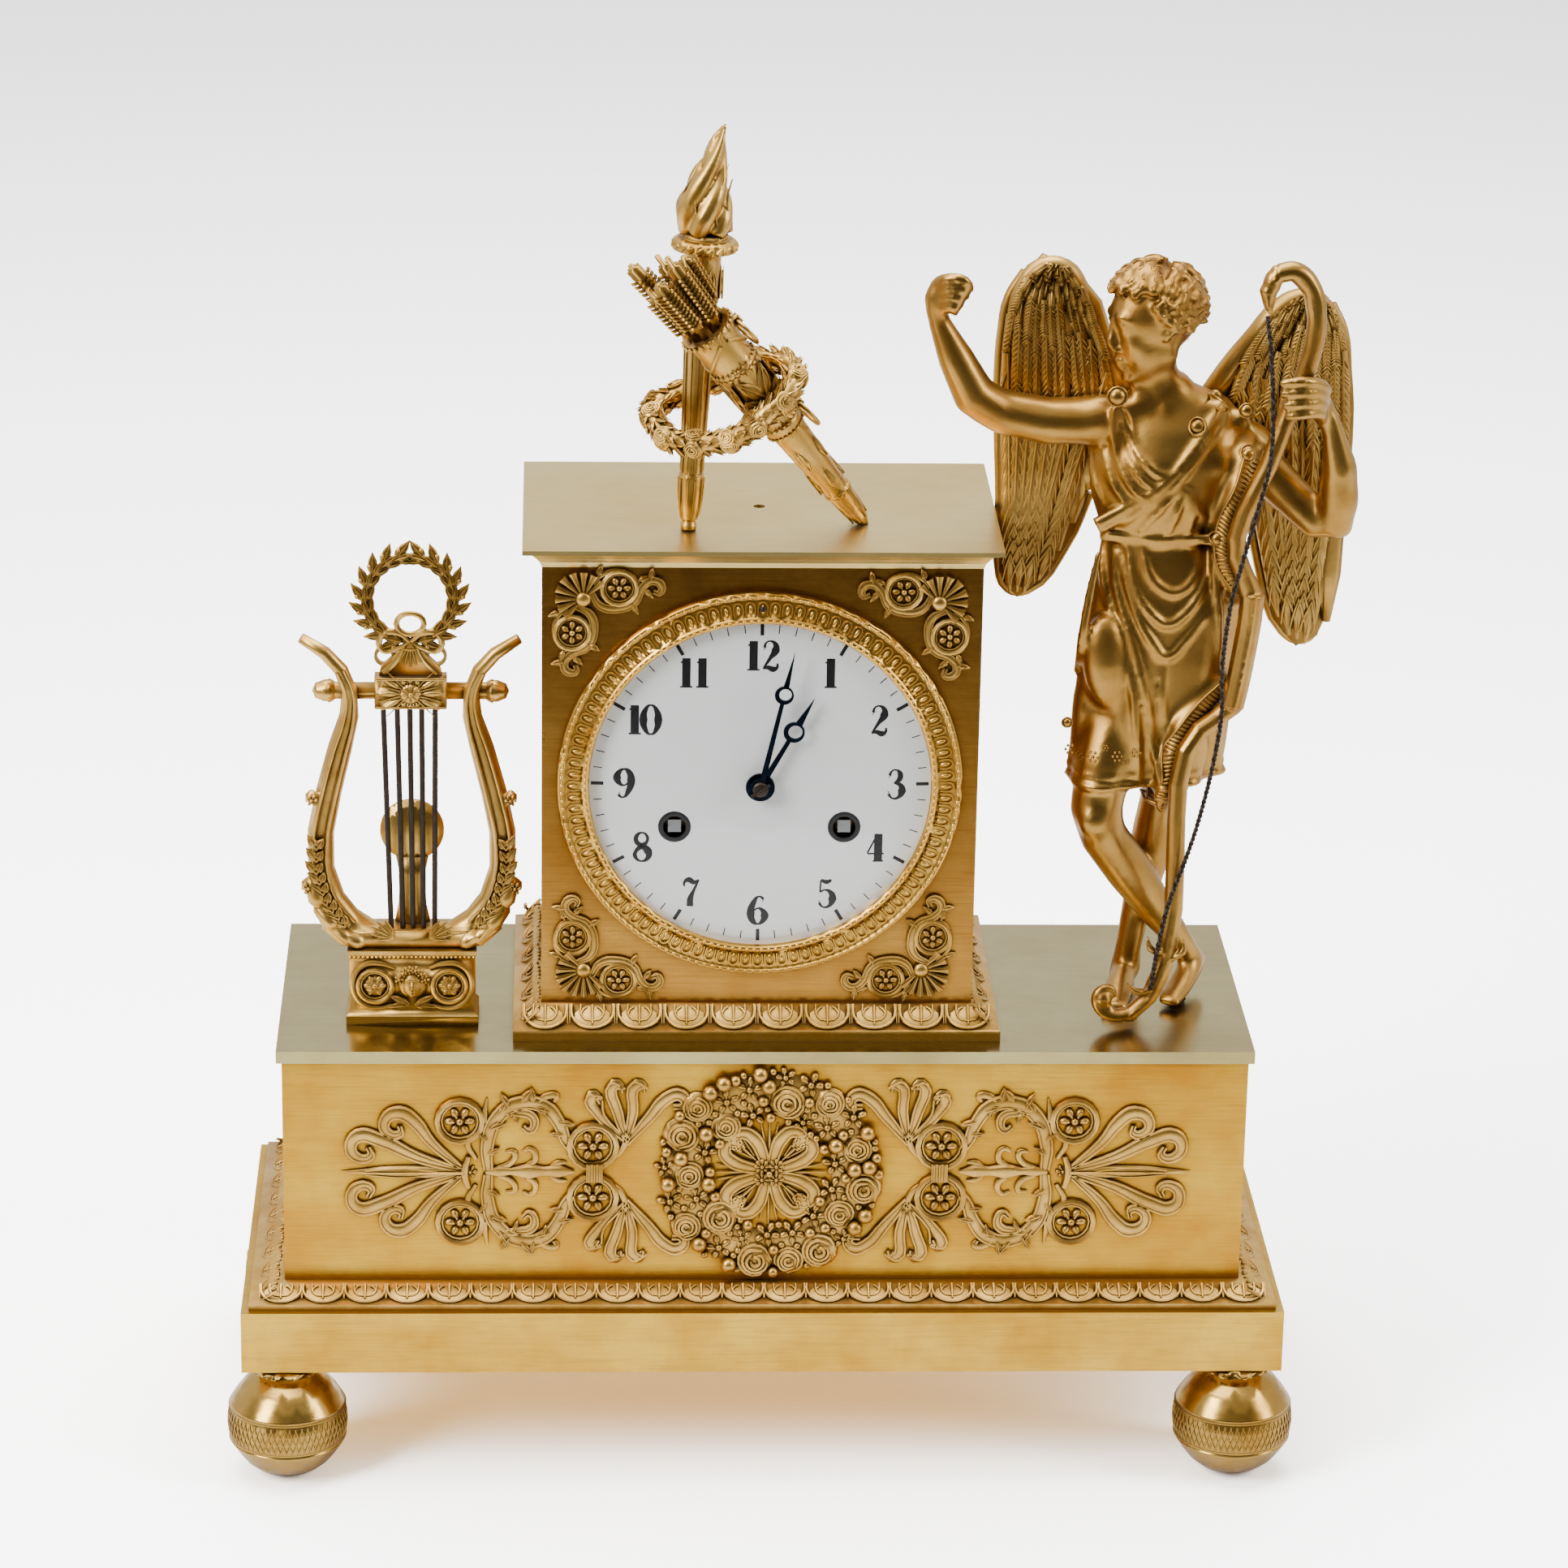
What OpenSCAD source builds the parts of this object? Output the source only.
// Figural mantel clock: a winged youth with a bow and a lyre beside a square clock case.
// Sizes in millimetres. +Z is up, the dial faces -Y, and the feet stand on Z = 0.

/* [Plinth] */
// Width of the plinth block
plinth_w = 270; // [262:1:280]
// Depth of the plinth block
plinth_d = 107.4; // [104:0.2:116]
// Height of the plinth block
plinth_h = 16.8; // [15:0.2:24]
// Thickness of the plinth's walls and floor
plinth_wall = 5; // [4:0.5:6]
// Height of the leaf moulding on the plinth
base_moulding_h = 4.6; // [4:0.2:7]

/* [Feet] */
// Diameter of a ball foot
foot_d = 31; // [26:0.5:33]
// Height of the turned collar disc over each ball
collar_h = 2.6; // [2:0.1:4]
// Distance of a foot's centre from the plinth's side
foot_inset_x = 11.3; // [10:0.1:14]
// Distance of a foot's centre from the plinth's front or back
foot_inset_y = 8.5; // [8:0.1:11]
// Diameter of the threaded stud on a foot
foot_stud_d = 4; // [3.6:0.1:4.2]

/* [Base box] */
// Distance from the plinth's side to the box
box_inset = 11; // [10:0.5:13]
// Height of the base box
base_box_h = 61.3; // [56:0.1:70]
// Wall of the base box
box_wall = 3.5; // [3:0.1:4.5]
// Thickness of the base's top plate
top_plate_h = 3.3; // [2.8:0.1:4.5]
// Overhang of the top plate past the box
top_plate_lip = 1.4; // [1:0.1:3]
// Diameter of the two tie rods in the base
tie_rod_d = 5; // [4:0.5:6]

/* [Case] */
// Width of the clock case
case_w = 110.8; // [108:0.2:113]
// Depth of the clock case
case_d = 66.6; // [64:0.2:72]
// Height of the clock case between its mouldings
case_h = 117.7; // [114:0.1:126]
// Wall of the clock case
case_wall = 3; // [2.5:0.1:3.5]
// Height of the leaf moulding under the case
case_moulding_h = 7.8; // [6:0.1:10]
// Height of the cavetto and plate over the case
case_top_h = 5.7; // [5:0.1:8]
// Place of the case to the side of the plinth's middle
case_x = -2.4; // [-3:0.1:-1.5]
// Place of the case behind the plinth's middle
case_y = 3.3; // [2:0.1:4]

/* [Dial and hands] */
// Height of the dial's centre over the middle of the case
dial_lift = 1.35; // [0.2:0.05:3]
// Least space between the bezel and the side edges of the case
bezel_side_space = 4; // [3.4:0.1:6.4]
// Least space between the bezel and the top edge of the case
bezel_head_space = 6.1; // [6.1:0.1:8.5]
// Width of the bezel ring
bezel_w = 8; // [7:0.1:8.5]
// Height of the bezel over the case front
bezel_h = 3; // [2.4:0.1:3.6]
// Length of the minute hand from its centre
minute_hand_l = 37.7; // [34:0.1:39]
// Length of the hour hand from its centre
hour_hand_l = 27.4; // [22:0.1:30]
// Thickness of a hand
hand_t = 0.6; // [0.5:0.05:0.8]

/* [Movement] */
// Space between the rim of the round plates and the dial's opening
plate_inset = 5; // [4.2:0.1:6]
// Thickness of a plate
plate_t = 2; // [1.6:0.1:2.2]
// Distance between the plates
plate_gap = 24; // [24:0.1:25]
// Thickness of a wheel
wheel_t = 1.1; // [0.8:0.1:1.3]
// Teeth of the two great wheels
great_teeth = 80; // [78:2:82]
// Teeth of the centre and third wheels
train_teeth = 88; // [84:2:90]
// Radius of the two spring barrels
barrel_r = 15.5; // [14:0.1:16]
// Side of the square on a winding arbor
winding_square = 3.3; // [2.8:0.1:3.6]
// Length of the pendulum from its pivot to the bob's centre
pendulum_l = 131; // [128:1:134]
// Diameter of the pendulum bob
bob_d = 36; // [30:1:38]
// Difference between the diameters of the plates and the bell
bell_step = 24; // [22:1:28]

/* [Rear door] */
// Radius of the opening in the back of the case
rear_hole_r = 42; // [41:0.5:43]
// Width of the ring round the rear opening
rear_ring_w = 5; // [4.5:0.1:5.5]
// Diameter of the door's hinge pin
hinge_pin_d = 2.4; // [2:0.1:2.6]

/* [Lyre] */
// Distance from the box's side to the lyre's middle
lyre_inset = 33; // [32:0.1:34]
// Height of the lyre's crossbar over the base top
lyre_bar_z = 89; // [88:0.5:92]
// Thickness of the lyre from front to back
lyre_t = 9; // [8:0.2:10]
// Outer radius of the laurel wreath
wreath_r = 14; // [13:0.5:15]

/* [Torch and quiver] */
// Height of the torch stem up to its collar
torch_h = 74; // [72:0.5:78]
// Radius of the gadrooned collar
torch_collar_r = 8; // [7:0.1:9]
// Length of the quiver from its tip to its mouth
quiver_l = 70; // [68:0.5:72]
// Radius of the quiver at its mouth
quiver_r = 6.2; // [5.6:0.1:6.4]

/* [Figure] */
// Distance from the box's side to the middle of the figure
figure_inset = 20; // [18:0.1:22]
// Diameter of the studs under the feet
figure_stud_d = 4; // [3:0.5:4.5]
// Thickness of the bow's limb
bow_t = 5; // [4:0.2:5.6]

/* [Hidden] */
$fn = 48;

// Radial room of a turning shaft in its hole, and of a loose bolt in its hole
run_fit = 0.06;
bolt_fit = 0.2;
// Space left between two cast pieces that only touch
seat = 0.15;

foot_r = foot_d / 2;
ball_z = foot_r - 0.5;
foot_top = ball_z + foot_r * 0.92 + collar_h;
plinth_top = foot_top + plinth_h;
box_z = plinth_top + base_moulding_h;
top_z = box_z + base_box_h + top_plate_h;
box_w = plinth_w - 2 * box_inset;
box_d = plinth_d - 2 * box_inset + 0.2;
foot_x = plinth_w / 2 - foot_inset_x;
foot_y = plinth_d / 2 - foot_inset_y;
tie_x = box_w / 4 + 16;
tie_boss_h = 10;

case_moulding_lip = 7.2;
case_z = top_z + case_moulding_h;
case_top_z = case_z + case_h;
shelf_z = case_top_z + case_top_h;
case_front = case_y - case_d / 2;
case_back = case_y + case_d / 2;
dial_rise = case_h / 2 + dial_lift;
dial_z = case_z + dial_rise;
bezel_r = min(case_w / 2 - bezel_side_space, case_h - dial_rise - bezel_head_space);
dial_r = bezel_r - bezel_w;
corner_share = bezel_r / 51.4;
dial_disc_r = dial_r + 1.3;
dial_hole_r = dial_r + 2.6;
dial_t = 1.5;
plate_d = 2 * (dial_hole_r - plate_inset);
bell_d = plate_d - bell_step;
foot_circle_r = plate_d / 2 - 8;

// Planes of the movement from front to back, as places along Y
false_plate_y = case_front + 1.1;
false_plate_t = 1.5;
front_plate_y = false_plate_y + false_plate_t + 4.4;
inner_front = front_plate_y + plate_t;
inner_back = inner_front + plate_gap;
movement_back = inner_back + plate_t;
pendulum_y = movement_back + 5.5;
level_great = inner_front + 1.5;
level_drum = level_great + wheel_t + 0.6;
drum_l = 10;
level_escape = inner_front + 9;
level_third = inner_back - 4.6;
level_centre = level_third - 3;

// Gear sizes: pitch radius follows from the distance of the two shafts
barrel_x = 21.6;
barrel_drop = 11.6;
great_reach = norm([barrel_x, barrel_drop]);
centre_leaves = 14;
train_leaves = 8;
great_module = 2 * great_reach / (great_teeth + centre_leaves);
centre_module = 0.36;
third_module = 0.3;
third_reach = centre_module * (train_teeth + train_leaves) / 2;
escape_reach = third_module * (train_teeth + train_leaves) / 2;
escape_rise = 24.5;
// The third arbor lies where its two meshes let it
third_up = (escape_rise * escape_rise + third_reach * third_reach - escape_reach * escape_reach)
    / (2 * escape_rise);
third_side = -sqrt(third_reach * third_reach - third_up * third_up);
escape_teeth = 30;
escape_r = 8.5;
anchor_rise = escape_rise + escape_r + 2.4;
strike_teeth = 72;
strike_module = 0.5;
pin_leaves = 9;
pin_reach = strike_module * (strike_teeth + pin_leaves) / 2;
pin_angle = 100;
pin_x = -barrel_x + pin_reach * cos(pin_angle);
pin_up = -barrel_drop + pin_reach * sin(pin_angle);
cannon_leaves = 12;
minute_teeth = 36;
minute_leaves = 10;
hour_teeth = 40;
motion_reach = 10.8;
motion_angle = 135;
cannon_module = 2 * motion_reach / (cannon_leaves + minute_teeth);
hour_module = 2 * motion_reach / (minute_leaves + hour_teeth);
arbor_r = 1;
winding_arbor_r = 2.2;
pillar_r = 2.6;
pillar_reach = plate_d / 2 - 4;
pillar_angles = [50, 130, 255, 285];
strap_x = plate_d / 2 + 2.9;
minute_angle = 12.6;
hour_angle = 29.3;
winding_hole_r = 4.2;

hinge_x = rear_hole_r + rear_ring_w + 2.2;
door_t = 1.6;
rear_ring_t = 2;
door_y = case_back + rear_ring_t + 0.3;
hinge_y = door_y + door_t / 2 + 1;
knuckle_r = hinge_pin_d / 2 + 1.2;
knuckle_h = 8;
bell_y = pendulum_y + 5;
bell_drop = 6;
bell_depth = 12;
bell_t = 1.5;
bell_post_x = -bell_d / 2 - 4.5;
hammer_x = 26 * plate_d / 82;
hammer_drop = 28 * plate_d / 82;
hammer_l = 23;

lyre_x = -box_w / 2 + lyre_inset;
lyre_y = -19.5;
lyre_base_w = 34;
lyre_base_h = 20.3;
string_top = lyre_bar_z - 4.5;
string_foot = 25.4;
string_r = 0.7;
wreath_z = lyre_bar_z + 24.5;

torch_x = -21;
torch_y = -17;
torch_lean = 2.6;
quiver_x = 24;
quiver_y = -11;
quiver_dir = [-40.5, -17.5, 54.7];
figure_x = box_w / 2 - figure_inset;

// The frame's origin is the middle of the whole clock's footprint, on the floor
wing_reach = 45.4;
right_reach = figure_x + wing_reach;
left_reach = foot_x + foot_r;
origin_x = (left_reach - right_reach) / 2;

function unit(v) = v / norm(v);
function turned(list) = [for (i = [len(list) - 1:-1:0]) list[i]];
function way(p, i) = unit(p[min(i + 1, len(p) - 1)] - p[max(i - 1, 0)]);
function pick(r, i) = is_list(r) ? (is_list(r[i]) ? r[i] : [r[i], r[i]]) : [r, r];

// An ellipse of n points round c, square to the way t, with its first axis square to side
function hoop(c, t, side, a, b, n) = let (u = unit(cross(side, t)), v = cross(t, u))
    [for (k = [0:n - 1]) c + u * a * cos(360 * k / n) + v * b * sin(360 * k / n)];

// A closed skin over rings of equally many points
module loft(rings) {
    n = len(rings[0]);
    m = len(rings);
    walls = [for (j = [0:m - 2]) for (i = [0:n - 1]) let (a = j * n + i, b = j * n + (i + 1) % n)
        each [[a, a + n, b + n], [a, b + n, b]]];
    foot = [for (i = [1:n - 2]) [0, i, i + 1]];
    head = [for (i = [1:n - 2]) [(m - 1) * n, (m - 1) * n + i + 1, (m - 1) * n + i]];
    polyhedron(points = [for (r = rings) each r], faces = concat(walls, foot, head));
}

// A round or oval limb along a path
module limb(path, r, n = 8, side = [0, 1, 0])
    loft([for (i = [0:len(path) - 1]) hoop(path[i], way(path, i), side, pick(r, i)[0], pick(r, i)[1], n)]);

// A rectangular moulding: profile points are [overhang, height] over a w by d rectangle
module moulding(w, d, profile)
    loft([for (p = profile) [[-w / 2 - p[0], -d / 2 - p[0], p[1]], [w / 2 + p[0], -d / 2 - p[0], p[1]],
        [w / 2 + p[0], d / 2 + p[0], p[1]], [-w / 2 - p[0], d / 2 + p[0], p[1]]]]);

module block(w, d, z0, z1) translate([-w / 2, -d / 2, z0]) cube([w, d, z1 - z0]);

// A flat band along points in a plane, h thick
function edge(p, w, s) = [for (i = [0:len(p) - 1]) let (t = way(p, i)) p[i] + s * pick(w,
    i)[0] * [-t[1], t[0]]];
module band(p, w, h) linear_extrude(h) polygon(concat(edge(p, w, 1), turned(edge(p, w, -1))));

// A straight stroke that ends in a curl of radius r, and a plain coil
function hook(l, r, s = 1, a = 250, n = 8) = concat([[0, 0], [l * 0.55, 0], [l, 0]],
    [for (i = [1:n]) [l + r * sin(a * i / n), s * r * (1 - cos(a * i / n))]]);
function coil(r0, r1, a0, a1, n) = [for (i = [0:n]) (r0 + (r1 - r0) * i / n)
    * [cos(a0 + (a1 - a0) * i / n), sin(a0 + (a1 - a0) * i / n)]];

// A pointed leaf from the origin along X
module leaf(l, w, h, n = 5) linear_extrude(h) polygon(concat(
    [for (i = [0:n]) [l * i / n, w * sin(180 * pow(i / n, 0.8)) + 0.15]],
    [for (i = [n:-1:0]) [l * i / n, -w * sin(180 * pow(i / n, 0.8)) - 0.15]]));

module dome(r, h) rotate_extrude() polygon([[0, 0], [r, 0], [r, h * 0.35], [r * 0.8, h * 0.75],
    [r * 0.4, h], [0, h]]);
module hoop_ring(r, w, h) difference() {
    cylinder(r = r, h = h);
    translate([0, 0, -1]) cylinder(r = r - w, h = h + 2);
}

// Places the child's XY plane on an upright front face, so that its Z points forwards
module on_front(x, y, z) translate([x, y, z]) rotate([90, 0, 0]) children();
// A cylinder along +Y from y0 to y1
module shaft(x, z, r, y0, y1) translate([x, y0, z]) rotate([-90, 0, 0]) cylinder(r = r, h = y1 - y0);
module in_frame() translate([origin_x, 0, 0]) children();
module in_case() translate([origin_x + case_x, case_y, 0]) children();
module in_dial() translate([origin_x + case_x, 0, dial_z]) children();

// Gear outlines: wheel teeth taper to a narrow tip, and pinion leaves have radial sides
function gear_points(teeth, m, add, ded, foot, tip) = let (r = teeth * m / 2, p = 360 / teeth)
    [for (i = [0:teeth - 1]) each [for (q = [[r - ded * m, -foot], [r, -0.21], [r + add * m, -tip],
        [r + add * m, tip], [r, 0.21], [r - ded * m, foot]]) q[0] * [cos(p * (i + q[1])),
            sin(p * (i + q[1]))]]];
module wheel(teeth, m, t) difference() {
    linear_extrude(t) polygon(gear_points(teeth, m, 0.8, 1.1, 0.27, 0.09));
    translate([0, 0, -1]) cylinder(r = arbor_r, h = t + 2);
}
module pinion(leaves, m, t) linear_extrude(t) polygon(gear_points(leaves, m, 0.7, 1.2, 0.2, 0.1));

// A wheel or pinion at a place of the movement, facing -Y, with one tooth or gap at the given angle
module at_arbor(x, z, y, turn) translate([x, y, z]) rotate([-90, 0, 0]) mirror([0, 1, 0]) rotate([0, 0,
    turn]) children();

// Four to six spokes cut from a wheel's web
module spoked(r_in, r_out, arms, t) difference() {
    children();
    for (i = [0:arms - 1]) rotate([0, 0, 360 * i / arms]) translate([0, 0, -1]) linear_extrude(t + 2)
        polygon(concat(coil(r_in, r_in, 14, 360 / arms - 14, 4), turned(coil(r_out, r_out, 8,
            360 / arms - 8, 6))));
}

// Base

module ball_feet() color("goldenrod") in_frame() for (x = [-1, 1], y = [-1, 1])
    translate([x * foot_x, y * foot_y, 0]) rotate_extrude() polygon(concat(
        [[0, 0], [foot_r * 0.25, 0]],
        [for (a = [-69:13:-30]) [foot_r * cos(a), ball_z + foot_r * sin(a)]],
        [[foot_r * 0.96, ball_z - 5.4], [foot_r * 0.99, ball_z - 4.6], [foot_r * 0.96, ball_z - 4]],
        [for (a = [-10:10:10]) [foot_r * cos(a), ball_z + foot_r * sin(a)]],
        [[foot_r * 0.96, ball_z + 4], [foot_r * 0.99, ball_z + 4.6], [foot_r * 0.96, ball_z + 5.4]],
        [for (a = [30:15:60]) [foot_r * cos(a), ball_z + foot_r * sin(a)]],
        [[foot_r * 0.42, ball_z + foot_r * 0.92], [foot_r * 0.62, foot_top - collar_h * 0.7],
            [foot_r * 0.62, foot_top - 0.6], [foot_r * 0.5, foot_top], [foot_stud_d / 2, foot_top],
            [foot_stud_d / 2, foot_top + plinth_wall + 6], [0, foot_top + plinth_wall + 6]]));

module plinth() color("darkgoldenrod") in_frame() difference() {
    block(plinth_w, plinth_d, foot_top, plinth_top);
    block(plinth_w - 2 * plinth_wall, plinth_d - 2 * plinth_wall, foot_top + plinth_wall, plinth_top + 1);
    for (x = [-1, 1], y = [-1, 1]) translate([x * foot_x, y * foot_y, foot_top - 1])
        cylinder(d = foot_stud_d + 2 * bolt_fit, h = plinth_wall + 2);
    for (x = [-tie_x, tie_x]) translate([x, 0, foot_top - 1])
        cylinder(d = tie_rod_d + 2 * bolt_fit, h = plinth_wall + 2);
}

// The leaf moulding's outline: a fillet, then a slope that rises to the box
module base_moulding() color("goldenrod") in_frame() difference() {
    moulding(box_w, box_d, [[9, plinth_top], [9, plinth_top + 1.6], [8.3, plinth_top + 2],
        [6.4, plinth_top + 2.5], [4.6, plinth_top + 3.4], [3.4, plinth_top + base_moulding_h], ]);
    block(box_w - 2 * box_wall - 3, box_d - 2 * box_wall - 3, plinth_top - 1, box_z + 1);
}

module base_box() color("orange") in_frame() difference() {
    block(box_w, box_d, box_z, top_z - top_plate_h);
    block(box_w - 2 * box_wall, box_d - 2 * box_wall, box_z - 1, top_z);
}

slot_w = bob_d + 24;
slot_d = 20;
module base_top_plate() color("khaki") in_frame() difference() {
    union() {
        block(box_w + 2 * top_plate_lip, box_d + 2 * top_plate_lip, top_z - top_plate_h, top_z);
        for (x = [-tie_x, tie_x]) translate([x, 0, top_z - top_plate_h - tie_boss_h])
            cylinder(r = tie_rod_d / 2 + 3, h = tie_boss_h + 1);
    }
    for (x = [-tie_x, tie_x]) translate([x, 0, top_z - top_plate_h - tie_boss_h - 1])
        cylinder(d = tie_rod_d + 2 * bolt_fit, h = tie_boss_h + 1);
    translate([case_x, pendulum_y, 0]) block(slot_w, slot_d, top_z - top_plate_h - 1, top_z + 1);
    for (p = foot_studs) translate([figure_x + p[0], p[1], top_z - top_plate_h - 1])
        cylinder(d = figure_stud_d + 2 * bolt_fit, h = top_plate_h + 2);
    translate([lyre_x, lyre_y, top_z - top_plate_h - 1]) cylinder(d = 4 + 2 * bolt_fit, h = top_plate_h + 2);
}

// Two long rods with nuts below the plinth floor, and the four nuts on the foot studs
module nut(d, h) difference() {
    cylinder(d = 1.9 * d, h = h, $fn = 6);
    translate([0, 0, -1]) cylinder(d = d + 2 * run_fit, h = h + 2);
}
module base_fixings() color("dimgray") in_frame() {
    for (x = [-tie_x, tie_x]) translate([x, 0, 0]) {
        translate([0, 0, foot_top - 5]) cylinder(d = tie_rod_d, h = top_z - top_plate_h - foot_top + 3);
        translate([0, 0, foot_top - 4]) cylinder(d = 2 * tie_rod_d, h = 4, $fn = 6);
    }
    for (x = [-1, 1], y = [-1, 1]) translate([x * foot_x, y * foot_y,
        foot_top + plinth_wall]) nut(foot_stud_d, 4);
}

// Side mount: a palmette, two scroll volutes with rosettes, an acanthus garland,
// a clasp with two rings, and two fans. Drawn for the left, with its middle at the origin.
mount_h = 1.6;
module volute(r, s) {
    band(coil(r, r * 0.45, -90 * s, -90 * s + 400 * s, 18), r * 0.12, mount_h);
    dome(r * 0.34, mount_h * 1.5);
}
module side_mount() {
    leaf(38, 2.1, mount_h, 6);
    for (s = [-1, 1]) {
        rotate([0, 0, s * 15]) band(hook(28, 3, s), 1.1, mount_h);
        rotate([0, 0, s * 34]) band(hook(24, 2.6, s), 1, mount_h);
        translate([2.2, s * 13.5, 0]) volute(6, s);
        translate([-19, s * 11.6, 0]) band(concat(coil(11.6, 11.6, s * 40, s * 232, 14)), 1.7, mount_h);
        translate([-19, s * 11.6, 0]) band(coil(5.5, 2.6, s * 160, s * 420, 10), 0.8, mount_h);
        translate([-19.5, s * 23, 0]) dome(1.9, mount_h * 1.3);
        translate([-31, s * 9, 0]) volute(5.6, -s);
        for (a = [100, 74, 48, 22]) translate([-37, s * 14.5, 0]) rotate([0, 0,
            s * a + 90 - 90 * s + (s > 0 ? 0 : 180)])
            band(hook(9.5, 1.9, s), 0.75, mount_h);
        translate([-9, s * 3, 0]) rotate([0, 0, s * 60]) leaf(9, 1.6, mount_h);
    }
    translate([-24, 0, 0]) rotate([0, 0, 180]) leaf(12, 2.6, mount_h * 1.2);
    translate([-8, 0, 0]) rotate([0, 0, 180]) leaf(17, 2.4, mount_h * 1.2);
    translate([-33.5, -2.5, 0]) cube([4.4, 5, mount_h * 1.3]);
    translate([-2, -2, 0]) cube([4, 4, mount_h * 1.3]);
}
side_mount_x = 76;
mount_z = box_z + base_box_h / 2 + 0.1;
module base_side_mounts() color("burlywood") in_frame() {
    on_front(-side_mount_x, -box_d / 2, mount_z) mirror([1, 0, 0]) side_mount();
    on_front(side_mount_x + 1, -box_d / 2, mount_z) side_mount();
}
// Round wreath with a rosette of curled petals
module base_mount_centre() color("burlywood") in_frame() on_front(1, -box_d / 2, mount_z) {
    difference() {
        union() {
            for (i = [0:11]) rotate([0, 0, 30 * i]) translate([21, 0, 0]) dome(6.2, mount_h * 1.6);
            cylinder(r = 22, h = mount_h);
        }
        translate([0, 0, -1]) cylinder(r = 15.4, h = 6);
    }
    for (i = [0:7]) rotate([0, 0, 45 * i + 22.5]) translate([3, 0, 0]) leaf(13.4, 3.2, mount_h * 0.9);
    for (i = [0:3]) rotate([0, 0, 90 * i]) translate([9.5, 0, 0]) dome(2.2, mount_h * 1.4);
    dome(4, mount_h * 2);
}

// Case

module case_moulding() color("goldenrod") in_case() difference() {
    moulding(case_w, case_d, [[case_moulding_lip, top_z], [case_moulding_lip, top_z + 2.8],
        [6.6, top_z + 3.2], [4.4, top_z + 4.2], [2.7, top_z + 5.8], [1.7, case_z]]);
    block(case_w - 2 * case_wall - 3, case_d - 2 * case_wall - 3, top_z - 1, case_z + 1);
}

module case_box() color("sienna") in_case() difference() {
    block(case_w, case_d, case_z, case_top_z);
    block(case_w - 2 * case_wall, case_d - 2 * case_wall, case_z - 1, case_top_z + 1);
    shaft(0, dial_z, dial_hole_r, -case_d / 2 - 1, 0);
    shaft(0, dial_z, rear_hole_r, 0, case_d / 2 + 1);
}

module case_top_plate() color("khaki") in_case() difference() {
    moulding(case_w, case_d, [[0, case_top_z], [0.5, case_top_z + 1.4], [1.4, case_top_z + 2.6],
        [2.9, case_top_z + case_top_h - 1.4], [4.9, case_top_z + case_top_h - 1.2], [4.9, shelf_z]]);
    for (p = [[0, 0, 1.5], [torch_x - case_x, torch_y - case_y, 1.4 + bolt_fit]])
        translate([p[0], p[1], case_top_z - 1]) cylinder(r = p[2], h = case_top_h + 2, $fn = 24);
}

// One corner mount: its corner at the origin, reaching along +X and -Y
module corner_mount() {
    translate([11, -11, 0]) {
        for (a = [0:4]) rotate([0, 0, 83 + a * 26]) translate([2, 0, 0]) leaf(8 - abs(a - 2) * 0.6,
            0.75, mount_h);
        dome(2.6, mount_h * 1.4);
        for (s = [0, 1]) mirror(s * [1, 1, 0]) {
            translate([5.4, 6.4, 0]) {
                hoop_ring(4.2, 0.9, mount_h * 0.9);
                dome(2.1, mount_h * 1.5);
            }
            rotate([0, 0, 4]) translate([1.6, 0, 0]) band(hook(12, 2.2, 1), 0.8, mount_h * 0.8);
            translate([9.4, 5, 0]) rotate([0, 0, 8]) leaf(9.5, 1.8, mount_h * 0.7);
        }
    }
}
module corner_mounts() color("burlywood") in_dial() for (sx = [0, 1], sz = [0, 1])
    translate([0, case_front, 0]) rotate([90, 0, 0]) mirror(sx * [1, 0, 0])
        scale([corner_share, corner_share, 1]) translate([-52, sz == 0 ? 56.3 : -58, 0])
            mirror(sz * [0, 1, 0]) corner_mount();

// Dial, bezel and hands

module bezel() color("gold") in_dial() translate([0, case_front, 0]) rotate([90, 0,
    0]) rotate_extrude($fn = 96)
    polygon([[dial_r, 1.4], [dial_hole_r, 0], [bezel_r, 0], [bezel_r, bezel_h * 0.5],
        [bezel_r - 0.5, bezel_h * 0.8],
        [bezel_r - 1.3, bezel_h * 0.85], [bezel_r - 1.8, bezel_h * 0.6], [dial_r + 4, bezel_h * 0.72],
        [dial_r + 1.9, bezel_h * 0.75], [dial_r + 1.4, bezel_h], [dial_r + 0.6, bezel_h],
            [dial_r, bezel_h * 0.75]]);

module dial_holes(r, y) {
    shaft(0, 0, r, y - 1, y + 9);
    for (x = [-barrel_x, barrel_x]) shaft(x, -barrel_drop, winding_hole_r, y - 1, y + 9);
}
// Convex enamel dial, its edge just behind the bezel's lip
module dial() color("white") in_dial() difference() {
    translate([0, false_plate_y - seat, 0]) rotate([90, 0, 0]) rotate_extrude($fn = 96)
        polygon([[0, 0], [dial_disc_r, 0], [dial_disc_r, 0.8], [dial_r * 0.9, 1.1], [dial_r * 0.6, 1.5],
            [dial_r * 0.3, 1.8], [0, 1.9]]);
    dial_holes(2.9, false_plate_y - 4);
}
// Brass plate behind the dial, with three feet that stand on the movement
module dial_plate() color("gold") in_dial() difference() {
    union() {
        shaft(0, 0, dial_hole_r - 0.4, false_plate_y, false_plate_y + false_plate_t);
        for (a = [90, 210, 330]) shaft(foot_circle_r * cos(a), foot_circle_r * sin(a), 1.6,
            false_plate_y + 0.5, front_plate_y);
        for (s = [-1, 1]) shaft(s * strap_x, 0, 1.1, false_plate_y + 0.5, false_plate_y + false_plate_t + 2);
    }
    dial_holes(2.9, false_plate_y - 1);
}

pipe_hour_r = 2.3;
pipe_minute_r = 1.5;
hour_hand_y = case_front - 2.6;
minute_hand_y = hour_hand_y - 1.4;
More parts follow.
